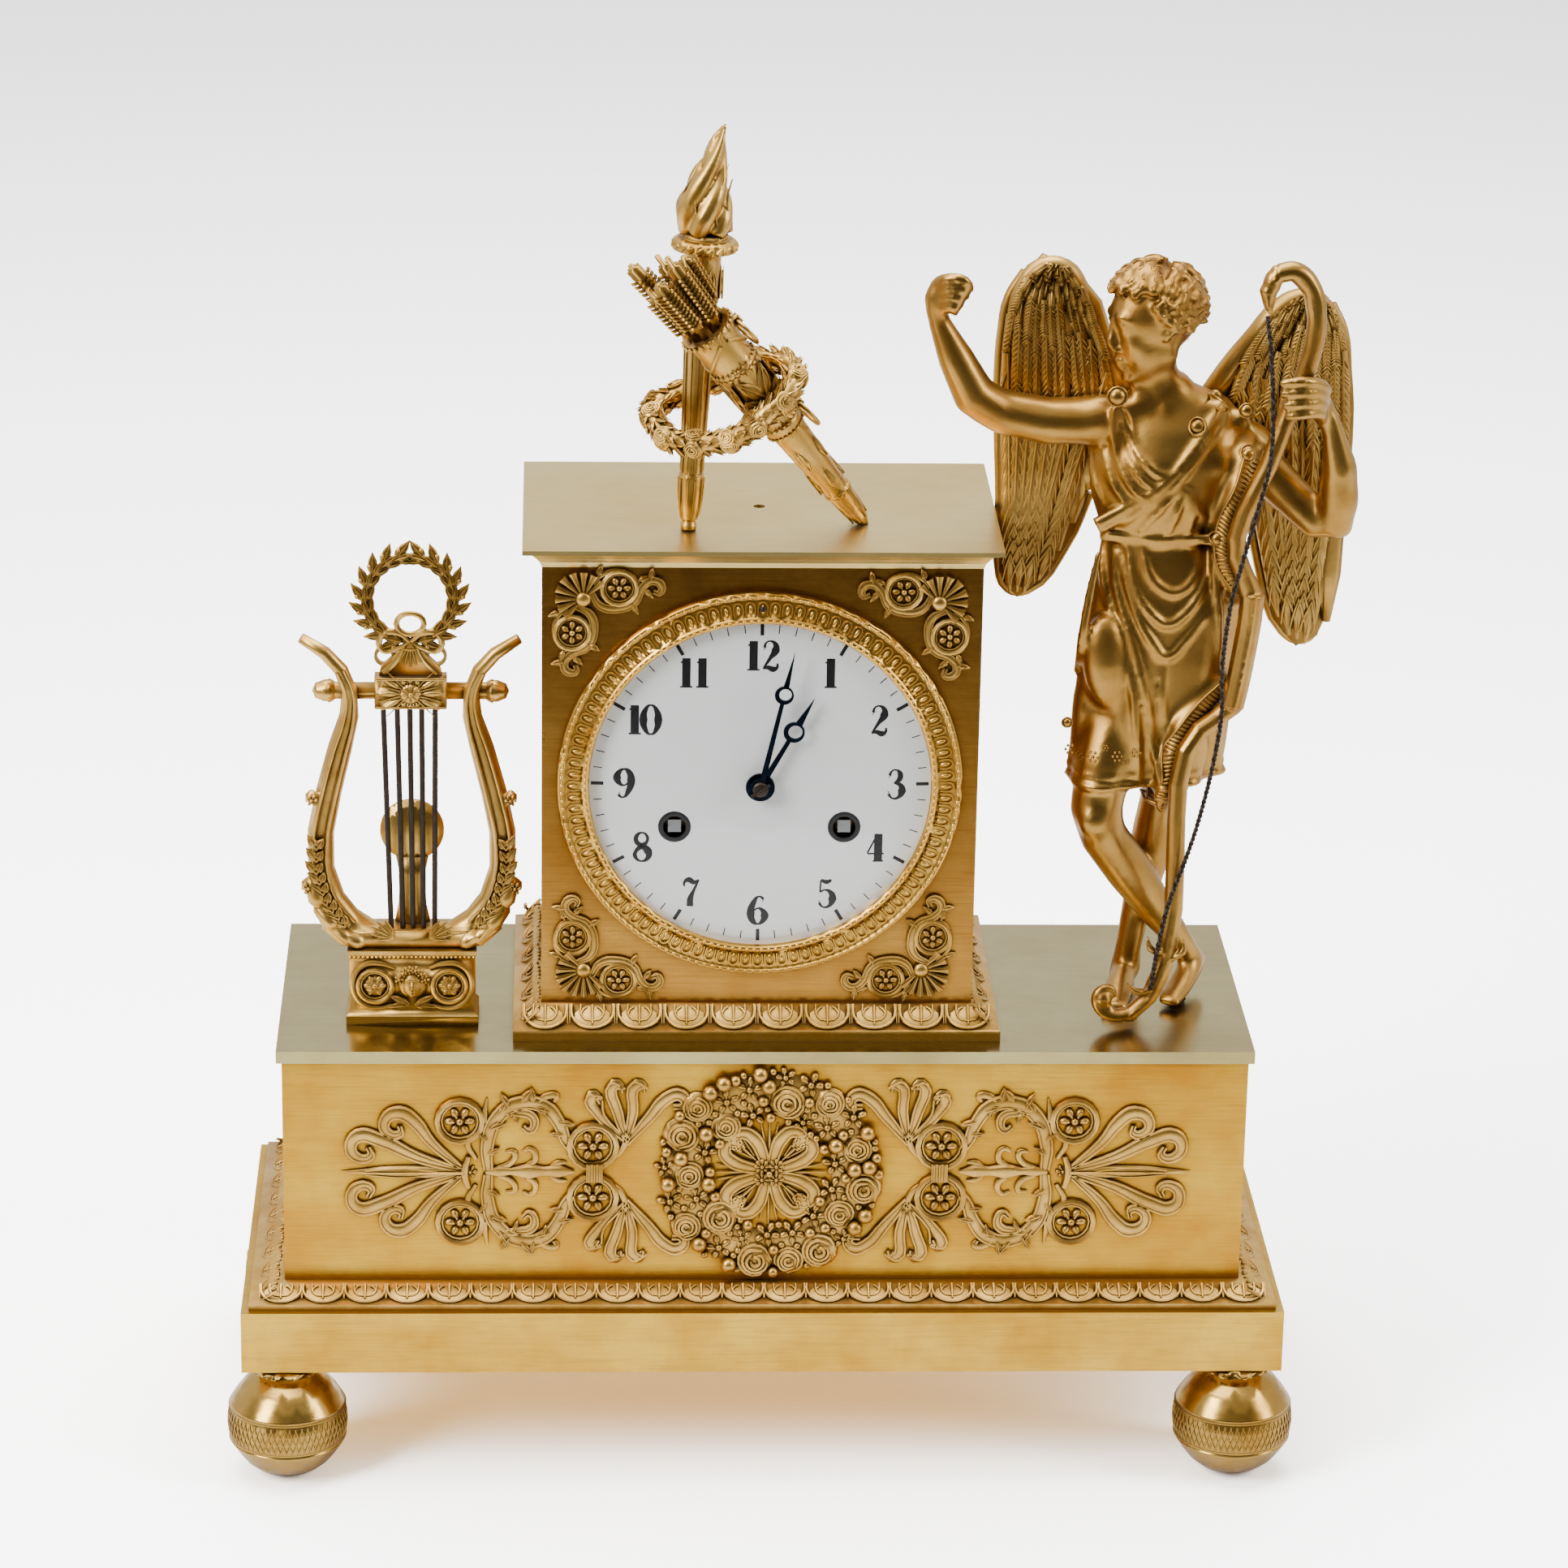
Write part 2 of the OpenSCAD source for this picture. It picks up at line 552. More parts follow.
// A slim hand with a pierced moon ring near its tip
module hand(l, eye, ring_r, hub_r, bore_r, tip_w) difference() {
    union() {
        cylinder(r = hub_r, h = hand_t);
        linear_extrude(hand_t) polygon([[-0.75, 0], [-0.5, eye], [-tip_w, eye + ring_r], [0, l],
            [tip_w, eye + ring_r],
            [0.5, eye], [0.75, 0]]);
        translate([0, eye, 0]) cylinder(r = ring_r, h = hand_t);
    }
    translate([0, 0, -1]) cylinder(r = bore_r, h = hand_t + 2);
    translate([0.25, eye + 0.25, -1]) cylinder(r = ring_r * 0.66, h = hand_t + 2);
}
module hour_hand() color("midnightblue") in_dial() on_front(0, hour_hand_y, 0) rotate([0, 0, -hour_angle])
    hand(hour_hand_l, 17, 2.7, 3.7, pipe_hour_r + run_fit, 0.9);
module minute_hand() color("midnightblue") in_dial() on_front(0, minute_hand_y, 0) rotate([0, 0,
    -minute_angle])
    hand(minute_hand_l, 25.8, 2.4, 2.9, pipe_minute_r + run_fit, 0.7);
// Domed collet and the pin that holds the minute hand
module hand_collet() color("gold") in_dial() on_front(0, minute_hand_y - hand_t - 0.05, 0) difference() {
    union() {
        dome(2, 0.9);
        rotate([0, 0, 35]) translate([-2.8, -0.35, 0.5]) cube([5.6, 0.7, 0.7]);
    }
    translate([0, 0, -1]) cylinder(r = pipe_minute_r * 0.6, h = 1.4);
}

// Movement

module plate(y, holes) difference() {
    shaft(0, 0, plate_d / 2, y, y + plate_t);
    for (h = holes) shaft(h[0], h[1], h[2], y - 1, y + plate_t + 1);
}
pivot_holes = concat(
    [[0, 0, arbor_r + run_fit], [third_side, third_up, arbor_r + run_fit],
        [0, escape_rise, arbor_r + run_fit],
        [0, anchor_rise, arbor_r + run_fit], [pin_x, pin_up, arbor_r + run_fit]],
    [for (x = [-barrel_x, barrel_x]) [x, -barrel_drop, winding_arbor_r + run_fit]]);
module pillar_places() for (a = pillar_angles) translate([pillar_reach * cos(a), 0,
    pillar_reach * sin(a)]) children();
motion_x = motion_reach * cos(motion_angle);
motion_up = motion_reach * sin(motion_angle);
module front_plate() color("gold") in_dial() {
    difference() {
        plate(front_plate_y, pivot_holes);
        pillar_places() shaft(0, 0, 1.5 + run_fit, front_plate_y - 1, inner_front + 1);
    }
    shaft(motion_x, motion_up, 0.8, front_plate_y - 4, front_plate_y + 0.5);
}
module back_plate() color("gold") in_dial() {
    plate(inner_back, pivot_holes);
    pillar_places() {
        shaft(0, 0, pillar_r, inner_front, inner_back + 0.5);
        shaft(0, 0, 1.5, front_plate_y - 1.2, inner_front + 0.5);
    }
    shaft(hammer_x, -hammer_drop, arbor_r, movement_back - 0.5, bell_y + 6);
}

// Centre arbor with its wheel, the pinion that the great wheel drives, and the cannon pinion
mesh_great = atan2(-barrel_drop, barrel_x);
module centre_wheel() color("gold") in_dial() {
    at_arbor(0, 0, level_centre, atan2(third_up, third_side))
        spoked(4, 13, 4, wheel_t) wheel(train_teeth, centre_module, wheel_t);
    shaft(0, 0, arbor_r, front_plate_y - 1.2, movement_back + 1);
    at_arbor(0, 0, level_great - 0.4, mesh_great + 180 / centre_leaves)
        pinion(centre_leaves, great_module, wheel_t + 0.8);
    at_arbor(0, 0, front_plate_y - 1.5, motion_angle + 180 / cannon_leaves)
        pinion(cannon_leaves, cannon_module, 1.2);
    shaft(0, 0, pipe_minute_r, minute_hand_y - hand_t, front_plate_y - 0.6);
    shaft(0, 0, 3, level_centre - 0.8, level_centre + 0.1);
}
module minute_wheel() color("gold") in_dial() difference() {
    union() {
        at_arbor(motion_x, motion_up, front_plate_y - 1.3, motion_angle + 180)
            linear_extrude(0.8) polygon(gear_points(minute_teeth, cannon_module, 0.8, 1.1, 0.27, 0.09));
        at_arbor(motion_x, motion_up, front_plate_y - 3.3, motion_angle + 180 + 180 / minute_leaves)
            pinion(minute_leaves, hour_module, 2.1);
    }
    shaft(motion_x, motion_up, 0.8 + run_fit, front_plate_y - 5, front_plate_y);
}
module hour_wheel() color("gold") in_dial() difference() {
    union() {
        at_arbor(0, 0, front_plate_y - 3.1, motion_angle)
            linear_extrude(1) polygon(gear_points(hour_teeth, hour_module, 0.8, 1.1, 0.27, 0.09));
        shaft(0, 0, pipe_hour_r, hour_hand_y - hand_t - 0.3, front_plate_y - 2.4);
    }
    shaft(0, 0, pipe_minute_r + run_fit, hour_hand_y - 5, front_plate_y);
}

// Spring barrel: toothed great wheel and closed drum that turn round the winding arbor
module barrel(x, teeth, m, turn) difference() {
    union() {
        at_arbor(x, -barrel_drop, level_great, turn)
            linear_extrude(wheel_t) polygon(gear_points(teeth, m, 0.8, 1.1, 0.27, 0.09));
        shaft(x, -barrel_drop, barrel_r, level_great + wheel_t - 0.1, level_drum + drum_l);
    }
    shaft(x, -barrel_drop, winding_arbor_r + run_fit, inner_front, inner_back);
}
module winding_arbor(x) {
    shaft(x, -barrel_drop, winding_arbor_r, front_plate_y - 0.6, movement_back + 0.8);
    s = winding_square;
    translate([x - s / 2, case_front + 0.1, -barrel_drop - s / 2]) cube([s,
        front_plate_y - 0.5 - case_front, s]);
}
module going_barrel() color("gold") in_dial() barrel(barrel_x, great_teeth, great_module, 180 + mesh_great);
module strike_barrel() color("gold") in_dial() barrel(-barrel_x, strike_teeth, strike_module, pin_angle);
module going_arbor() color("lightsteelblue") in_dial() winding_arbor(barrel_x);
module strike_arbor() color("lightsteelblue") in_dial() winding_arbor(-barrel_x);

module third_wheel() color("gold") in_dial() {
    at_arbor(third_side, third_up, level_third, atan2(escape_rise - third_up, -third_side))
        spoked(3, 11, 4, wheel_t) wheel(train_teeth, third_module, wheel_t);
    shaft(third_side, third_up, arbor_r, front_plate_y + 0.4, movement_back - 0.4);
    at_arbor(third_side, third_up, level_centre - 0.5, atan2(third_up, third_side) + 180 + 180 / train_leaves)
        pinion(train_leaves, centre_module, 2.4);
}
module escape_wheel() color("gold") in_dial() {
    at_arbor(0, escape_rise, level_escape, 0) difference() {
        linear_extrude(wheel_t) polygon([for (i = [0:escape_teeth - 1]) let (p = 360 / escape_teeth)
            each [(escape_r - 2) * [cos(p * i), sin(p * i)], escape_r * [cos(p * (i + 0.28)),
                sin(p * (i + 0.28))],
                (escape_r - 2) * [cos(p * (i + 0.4)), sin(p * (i + 0.4))]]]);
        translate([0, 0, -1]) cylinder(r = arbor_r, h = wheel_t + 2);
    }
    shaft(0, escape_rise, arbor_r, front_plate_y + 0.4, movement_back - 0.4);
    at_arbor(0, escape_rise, level_third - 0.5, atan2(escape_rise - third_up,
        -third_side) + 180 + 180 / train_leaves)
        pinion(train_leaves, third_module, 2.1);
}
module strike_pin_wheel() color("gold") in_dial() {
    at_arbor(pin_x, pin_up, level_centre, 0) {
        difference() {
            cylinder(r = 9.4, h = wheel_t);
            translate([0, 0, -1]) cylinder(r = arbor_r, h = wheel_t + 2);
        }
        for (i = [0:7]) rotate([0, 0, 45 * i]) translate([7.6, 0, -1.4]) cylinder(r = 0.5, h = 1.6, $fn = 24);
    }
    shaft(pin_x, pin_up, arbor_r, front_plate_y + 0.4, movement_back - 0.4);
    at_arbor(pin_x, pin_up, level_great - 0.4, pin_angle + 180 + 180 / pin_leaves)
        pinion(pin_leaves, strike_module, wheel_t + 0.8);
}

// Anchor with its two pallets, on an arbor that carries the crutch behind the back plate
crutch_l = 22;
module anchor() color("silver") in_dial() {
    shaft(0, anchor_rise, arbor_r, front_plate_y + 0.4, movement_back + 2.2);
    translate([0, level_escape + wheel_t, anchor_rise]) rotate([90, 0,
        0]) linear_extrude(wheel_t) polygon([[-1.6, 1.4],
        [1.6, 1.4], [7.4, -1.6], [8.9, -6.2], [7.9, -5.8], [6, -1.6], [1.4, -1.3], [-1.4, -1.3], [-6, -1.6],
        [-7.9, -5.8], [-8.9, -6.2], [-7.4, -1.6]]);
    translate([-0.9, movement_back + 1, anchor_rise - crutch_l]) cube([1.8, 1, crutch_l]);
    for (x = [-2.6, 1.2]) translate([x, movement_back + 1, anchor_rise - crutch_l - 1]) cube([1.4,
        pendulum_y - movement_back + 1, 1.6]);
    translate([-2.6, movement_back + 1, anchor_rise - crutch_l - 1]) cube([5.2, 1, 1.6]);
}

// Suspension cock: a bracket on the back plate that holds the pendulum's spring
cock_top = anchor_rise + 4.6;
module back_cock() color("gold") in_dial() difference() {
    union() {
        translate([-9, movement_back, anchor_rise - 6]) cube([18, 1.6, 10]);
        translate([-4, movement_back, anchor_rise + 1.8]) cube([8, pendulum_y - movement_back + 2.4, 3.2]);
    }
    shaft(0, anchor_rise, arbor_r + 0.6, movement_back - 1, movement_back + 2.4);
    translate([-2.8, pendulum_y - 0.25, anchor_rise]) cube([5.6, 0.5, 8]);
    translate([-1.6, movement_back - 1, anchor_rise - 8]) cube([3.2, 3.6, 8]);
}
module pendulum_rod() color("silver") in_dial() {
    translate([-2, pendulum_y - 0.1, anchor_rise - 6]) cube([4, 0.2, 10.2]);
    translate([0, pendulum_y, anchor_rise - pendulum_l - bob_d / 2 - 5]) cylinder(r = arbor_r,
        h = pendulum_l + bob_d / 2);
    translate([0, pendulum_y, anchor_rise - 7]) rotate([0, 0, 0]) block(4, 2, -1, 2);
    translate([0, pendulum_y, anchor_rise - pendulum_l - bob_d / 2 - 2.6]) nut_disc();
}
module nut_disc() cylinder(r = 3, h = 2.4);
module pendulum_bob() color("gold") in_dial() difference() {
    translate([0, pendulum_y, anchor_rise - pendulum_l]) rotate([90, 0,
        0]) rotate_extrude() polygon([[0, -4], [bob_d * 0.22, -3.4],
        [bob_d * 0.4, -1.8], [bob_d / 2, -0.4], [bob_d / 2, 0.4], [bob_d * 0.4, 1.8],
            [bob_d * 0.22, 3.4], [0, 4]]);
    translate([0, pendulum_y, anchor_rise - pendulum_l - bob_d]) cylinder(r = arbor_r + run_fit,
        h = 2 * bob_d);
}
// Bell, its stand on the back plate, and the hammer
module bell() color("lightgoldenrodyellow") in_dial() difference() {
    translate([0, bell_y, -bell_drop]) rotate([-90, 0,
        0]) rotate_extrude($fn = 64) polygon([[bell_d / 2, 0], [bell_d * 0.47, 4],
        [bell_d * 0.4, 8], [bell_d * 0.25, bell_depth - 1], [0, bell_depth], [0, bell_depth - bell_t],
        [bell_d * 0.24, bell_depth - 1 - bell_t], [bell_d * 0.38, 7], [bell_d * 0.445, 3.4],
            [bell_d / 2 - bell_t, 0]]);
    shaft(0, -bell_drop, 1.5 + run_fit, bell_y, bell_y + bell_depth + 2);
}
module bell_stand() color("gray") in_dial() {
    shaft(bell_post_x, -bell_drop, 2, movement_back, bell_y + bell_depth + 2);
    translate([bell_post_x, bell_y + bell_depth + seat, -bell_drop - 2.5]) cube([-bell_post_x + 3, 1.2, 5]);
    shaft(0, -bell_drop, 1.5, bell_y + bell_depth - 3.6, bell_y + bell_depth + 0.4);
    shaft(0, -bell_drop, 2.4, bell_y + bell_depth - bell_t - 2.6, bell_y + bell_depth - bell_t - 2 * seat);
}
hammer_side = bell_d / 2 + 3.4;
module hammer() color("gray") in_dial() {
    tilt = atan2(hammer_side - hammer_x, hammer_drop - bell_drop);
    difference() {
        translate([hammer_x, bell_y + 2.4, -hammer_drop]) rotate([0, tilt, 0]) union() {
            translate([-1.2, 0, 0]) cube([2.4, 1.2, hammer_l]);
            rotate([-90, 0, 0]) cylinder(r = 2.4, h = 1.2);
            translate([0, -1.8, hammer_l]) rotate([-90, 0, 0]) cylinder(r = 2.6, h = 4.6);
        }
        shaft(hammer_x, -hammer_drop, arbor_r + run_fit, bell_y - 3, bell_y + 8);
    }
}

// Two bars that draw the front and rear rings together
module movement_straps() color("gold") in_dial() for (s = [-1, 1]) difference() {
    translate([s * strap_x - 1.7, false_plate_y + false_plate_t, -3]) cube([3.4,
        case_back - case_wall - false_plate_y - false_plate_t, 6]);
    shaft(s * strap_x, 0, 1.1 + run_fit, false_plate_y - 1, false_plate_y + false_plate_t + 2.2);
}

// Rear ring with two hinge knuckles, and the round door with the third
module knuckle(z) translate([hinge_x, hinge_y, z]) cylinder(r = knuckle_r, h = knuckle_h);
module hinge_bore() translate([hinge_x, hinge_y,
    -3 * knuckle_h]) cylinder(d = hinge_pin_d + 2 * run_fit, h = 6 * knuckle_h);
module rear_bezel() color("gold") in_dial() difference() {
    union() {
        shaft(0, 0, rear_hole_r + rear_ring_w, case_back, case_back + rear_ring_t);
        for (z = [-1.5 * knuckle_h - 0.3, 0.5 * knuckle_h + 0.3]) {
            knuckle(z);
            translate([rear_hole_r + 2, case_back, z]) cube([hinge_x - rear_hole_r - 2, rear_ring_t,
                knuckle_h]);
            translate([hinge_x - knuckle_r, case_back, z]) cube([knuckle_r, hinge_y - case_back, knuckle_h]);
        }
    }
    shaft(0, 0, rear_hole_r - 2, case_back - 1, case_back + rear_ring_t + 1);
    hinge_bore();
}
module rear_door() color("goldenrod") in_dial() difference() {
    union() {
        translate([0, door_y, 0]) rotate([-90, 0, 0]) rotate_extrude($fn = 96) polygon([[0, 0],
            [rear_hole_r + 1.2, 0],
            [rear_hole_r + 1.2, door_t], [rear_hole_r - 1, door_t + 0.9], [rear_hole_r - 3, door_t],
                [0, door_t]]);
        knuckle(-0.5 * knuckle_h);
        translate([rear_hole_r - 2, door_y, -0.5 * knuckle_h]) cube([hinge_x - rear_hole_r + 2, door_t,
            knuckle_h]);
        shaft(-rear_hole_r + 5, 0, 1.4, door_y + 0.5, door_y + door_t + 3);
        shaft(-rear_hole_r + 5, 0, 2.6, door_y + door_t + 2, door_y + door_t + 5);
    }
    hinge_bore();
}
module hinge_pin() color("silver") in_dial() translate([hinge_x, hinge_y, -1.5 * knuckle_h - 1.2]) {
    cylinder(d = hinge_pin_d, h = 3 * knuckle_h + 2.4);
    translate([0, 0, -1]) cylinder(d = hinge_pin_d + 1, h = 1);
}

// Lyre

module in_lyre() translate([origin_x + lyre_x, lyre_y, top_z]) children();
module lyre_base() color("goldenrod") in_lyre() {
    moulding(lyre_base_w - 2, lyre_t + 3, [[1, 0], [1, 2.4], [0.2, 3.3], [0, lyre_base_h - 2],
        [0.6, lyre_base_h - 1], [0.6, lyre_base_h]]);
    translate([0, 0, -top_plate_h - 3]) cylinder(d = 4, h = top_plate_h + 5);
    on_front(0, -lyre_t / 2 - 1.5, 0) {
        for (s = [-1, 1]) translate([s * 9.6, 10.6, 0]) {
            hoop_ring(5, 0.8, 0.8);
            dome(2.6, 1);
        }
        translate([0, 11, 0]) scale(1) dome(3.6, 1.5);
    }
}
arm_path = [[4, 22.5], [10, 23.2], [16, 26.5], [20.7, 32.5], [23.2, 41], [23.2, 51], [21, 62],
    [18, 74], [15.6, 83], [15.4, 90], [17.5, 95.5],
    [21.5, 100], [27.5, 104]];
arm_half = [2.1, 2.6, 3.4, 3.6, 3.4, 3.4, 3.3, 3.1, 2.5, 2, 1.9, 1.8, 1.4];
module lyre_frame() color("goldenrod") in_lyre() {
    difference() {
        for (s = [-1, 1]) {
            limb([for (i = [0:12]) [s * arm_path[i][0], i < 7 ? 0 : i < 8 ? -0.6 : i < 9 ? -1.8 : -2.8,
                arm_path[i][1]]], [for (i = [0:12]) [arm_half[i],
                i < 8 ? lyre_t / 2 - i * 0.15 : arm_half[i]]], 10);
            for (k = [[26.4, 37, 2], [25.3, 61, 1.8]]) hull() {
                translate([s * (k[0] - 3), -1, k[1] - 3]) sphere(r = 1.6, $fn = 8);
                translate([s * k[0], -2, k[1]]) sphere(r = k[2], $fn = 8);
            }
            // Acanthus that wraps the lower arm
            for (k = [0:3]) hull() {
                translate([s * (14 + k * 3.4), -lyre_t / 2 + 0.6, 22 + k * k * 1.3]) sphere(r = 2.4, $fn = 8);
                translate([s * (19 + k * 2.2), -lyre_t / 2 + 1.4, 24.5 + k * k * 1.5]) sphere(r = 2, $fn = 8);
            }
        }
        translate([0, 0, lyre_bar_z]) rotate([0, 90, 0]) cylinder(r = 2.2 + seat, h = 80,
            center = true, $fn = 32);
        block(60, 40, 0, lyre_base_h + seat);
    }
    difference() {
        block(lyre_base_w - 6, lyre_t, lyre_base_h + seat, 25);
        for (s = [-1, 1]) translate([s * 24, 0, 25]) rotate([90, 0, 0]) cylinder(r = 3, h = 30,
            center = true, $fn = 32);
    }
}
// Crossbar with acorn ends and the plaque that takes the strings
module lyre_crossbar() color("goldenrod") in_lyre() translate([0, 0, lyre_bar_z]) {
    rotate([0, 90, 0]) translate([0, 0, -19.5]) cylinder(r = 2.2, h = 39);
    for (s = [-1, 1]) rotate([0, s * 90, 0]) translate([0, 0, 19]) rotate_extrude() polygon([[0, 0],
        [2.2, 0], [2.9, 1], [2.8, 3],
        [1.9, 5.2], [0, 6]]);
    block(18.3, 5, -4, 4.2);
    on_front(0, -2.5, 0) {
        dome(2.6, 1);
        for (a = [0:30:330]) rotate([0, 0, a]) translate([3, 0, 0]) leaf(abs(cos(a)) > 0.6 ? 5.4 : 1,
            0.5, 0.4);
    }
}
string_tops = [-6.9, -3.4, -0.2, 2.8, 6.2];
string_feet = [-5.4, -2.4, 0.2, 2.9, 5.8];
module lyre_strings() color("black") in_lyre() for (i = [0:4]) {
    slant = atan2(string_tops[i] - string_feet[i], string_top - string_foot);
    translate([string_feet[i], -2, string_foot - 0.3]) rotate([0, slant, 0]) cylinder(r = string_r,
        h = string_top - string_foot + 0.4);
}
// Tall rod with a round patera that braces the strings from behind
module lyre_patera() color("peru") in_lyre() {
    loft([for (p = [[25.2, 4.6, 1.6], [30, 3.6, 1.4], [38, 3.2, 1.4],
        [43, 4.2, 1.4]]) hoop([0, 2.6, p[0]], [0, 0, 1], [0, 1, 0], p[1], p[2], 10)]);
    on_front(0, 4.2, 50) dome(8.2, 3.4);
}
module lyre_wreath() color("goldenrod") in_lyre() on_front(0, 1, wreath_z) {
    r = wreath_r * 0.8;
    hoop_ring(r, 1.2, 1.8);
    for (i = [1:11], s = [0, 1]) mirror(s * [1, 0, 0]) rotate([0, 0, -90 + i * 15]) translate([r - 0.6,
        0, 0]) {
        rotate([0, 0, 48]) leaf(wreath_r * 0.42, 1.3, 1.2);
        if (i % 2 == 0) rotate([0, 0, 132]) leaf(wreath_r * 0.34, 1.1, 1.5);
    }
    // Knot of ribbon on a stepped foot that stands on the plaque
    translate([0, -r, 0]) {
        linear_extrude(2) polygon([[-8, lyre_bar_z + 4.35 - wreath_z + r],
            [8, lyre_bar_z + 4.35 - wreath_z + r], [7.4, -6.6], [3.6, -3],
            [5, 2.6], [3.8, 4.4], [-3.8, 4.4], [-5, 2.6], [-3.6, -3], [-7.4, -6.6]]);
        dome(3, 3.2);
        translate([0, 6.2, 0]) hoop_ring(3.4, 0.8, 1.6);
        for (s = [-1, 1]) translate([s * 6.6, -4, 0]) hoop_ring(2.6, 0.8, 1.6);
    }
}

// Torch and quiver on the case

module in_torch() translate([origin_x + torch_x, torch_y, shelf_z]) rotate([0, torch_lean, 0]) children();
module torch_stem() color("peru") {
    torch_body();
    translate([origin_x + torch_x, torch_y, shelf_z - 4]) cylinder(r = 1.4, h = 5.6);
}
module torch_body() in_torch() difference() {
    translate([0, 0, 0.1]) rotate_extrude() polygon([[0, 0], [1.9, 0], [2.1, 1.6], [1.7, 2.6],
        [2.2, 3], [2.9, 6], [3.2, 14], [3.2, 14.8], [2.7, 15.2],
        [2.8, 24], [3.4, 46], [3.8, 58], [4.2, 60.2], [4, 61], [4.3, torch_h - 2.6], [5, torch_h - 2],
            [torch_collar_r, torch_h - 1],
        [torch_collar_r, torch_h + 1.2], [torch_collar_r - 1, torch_h + 1.9], [5.6, torch_h + 2],
            [5.6, torch_h + 3], [0, torch_h + 3]]);
    block(20, 20, -5, 0.3);
}
// Flame: a fluted body that swings left, then right, with a low tongue at the left and a tall one
flame_h = 28;
module flame_tongue(path, r, flutes, twist) loft([for (i = [0:len(path) - 1])
    [for (k = [0:11]) let (a = 30 * k + twist * i) path[i] + r[i] * (1 + 0.13 * cos(flutes * 30 * k))
        * [cos(a), sin(a), 0]]]);
module torch_flame() color("goldenrod") in_torch() translate([0, 0, torch_h + 3.25]) {
    flame_tongue([[0, 0, 0], [-0.4, 0, 4], [-1, 0, 9], [-0.6, 0, 13.5], [1.4, 0, 18], [3, 0, 22],
        [3.6, 0, 26], [2.6, 0, flame_h]],
        [5.8, 6.8, 7, 5.6, 4.4, 3.6, 2.2, 0.3], 4, 14);
    flame_tongue([[-3, -0.6, 6], [-4.6, -1, 12], [-4, -1, 17], [-2.2, -1, 21]], [3.6, 3.4, 2.2, 0.4], 3, 10);
    flame_tongue([[2, -1, 8], [4.4, -1.4, 13], [5, -1.2, 17], [6.6, -1, 20.5]], [3, 2.8, 1.8, 0.3], 3, -12);
}

// The quiver's own frame: Z runs from its tip to its mouth
quiver_yaw = atan2(quiver_dir[1], quiver_dir[0]);
quiver_tilt = atan2(norm([quiver_dir[0], quiver_dir[1]]), quiver_dir[2]);
module in_quiver() translate([origin_x + quiver_x, quiver_y, shelf_z]) rotate([0, 0,
    quiver_yaw]) rotate([0, quiver_tilt, 0]) children();
upper_lug = quiver_l * 0.97;
lower_lug = quiver_l * 0.56;
lug_out = 2.3;
ear_hole = 0.75;
module quiver_lug(s, r) translate([-r, 0, s]) rotate([90, 0, 0]) difference() {
    translate([-lug_out, -1.2, -1]) cube([lug_out + 1.2, 2.4, 2]);
    translate([-lug_out + 1.25, 0, -2]) cylinder(r = ear_hole, h = 4);
}
function quiver_at(s) = 2.2 + (quiver_r - 2.2) * pow(min(1, max(0, s - 4) / (quiver_l - 4)), 0.7);
module quiver() color("darkgoldenrod") difference() {
    in_quiver() {
        difference() {
            rotate_extrude() polygon([[0, -1.5], [1.2, 0.5], [2, 2.6], [2.5, 5], [3.4, 12],
                [3.7, 12.4], [3.7, 13.4], [3.4, 13.8],
                [quiver_at(36), 36], [quiver_at(36) + 0.5, 36.5], [quiver_at(40) + 0.5, 39.5],
                    [quiver_at(40), 40],
                [quiver_at(58), 58], [quiver_at(58) + 0.5, 58.6], [quiver_at(60) + 0.5, 60],
                    [quiver_at(61), 60.6],
                [quiver_r, quiver_l], [quiver_r + 0.6, quiver_l + 0.4],
                    [quiver_r + 0.6, quiver_l + 2], [quiver_r - 1.2, quiver_l + 2],
                [quiver_r - 1.2, quiver_l - 12], [0, quiver_l - 12]]);
        }
        quiver_lug(upper_lug, quiver_r - 0.2);
        quiver_lug(lower_lug, quiver_at(lower_lug) + 0.3);
    }
    translate([origin_x + case_x, case_y, 0]) block(case_w, case_d, shelf_z - 8, shelf_z + 0.1);
}
// Bundle of arrows with feathered ends
module arrows() color("goldenrod") in_quiver() difference() {
    for (i = [0:5]) rotate([0, 0, 60 * i]) translate([2.9, 0, quiver_l - 11]) rotate([0,
        4 + (i % 2) * 3, 0]) {
        cylinder(r = 0.7, h = 32 + (i % 3) * 2.5, $fn = 16);
        for (a = [0, 60, 120]) rotate([0, 0, a]) translate([-1.9, -0.25, 15 + (i % 2) * 2]) cube([3.8,
            0.5, 14 + (i % 3) * 2.5]);
    }
    translate([0, 0, quiver_l - 12]) hoop_ring(20, 20 - quiver_r + 1.2 + seat, 14.4);
}
// A wire ring that hangs in a lug, drawn with its pivot at the origin
ring_l = 9.2;
module bail() translate([0, 0, -ring_l / 2 + 0.5]) rotate([0, 90,
    0]) rotate_extrude($fn = 32) translate([ring_l / 2 - 0.5, 0]) circle(r = 0.5, $fn = 16);
module quiver_bail(s, r) in_quiver() translate([-r - lug_out + 1.25, 0, s]) rotate([0, 3, 0]) bail();
module quiver_ring_upper() color("gold") quiver_bail(upper_lug, quiver_r - 0.2);
module quiver_ring_lower() color("gold") quiver_bail(lower_lug, quiver_at(lower_lug) + 0.3);

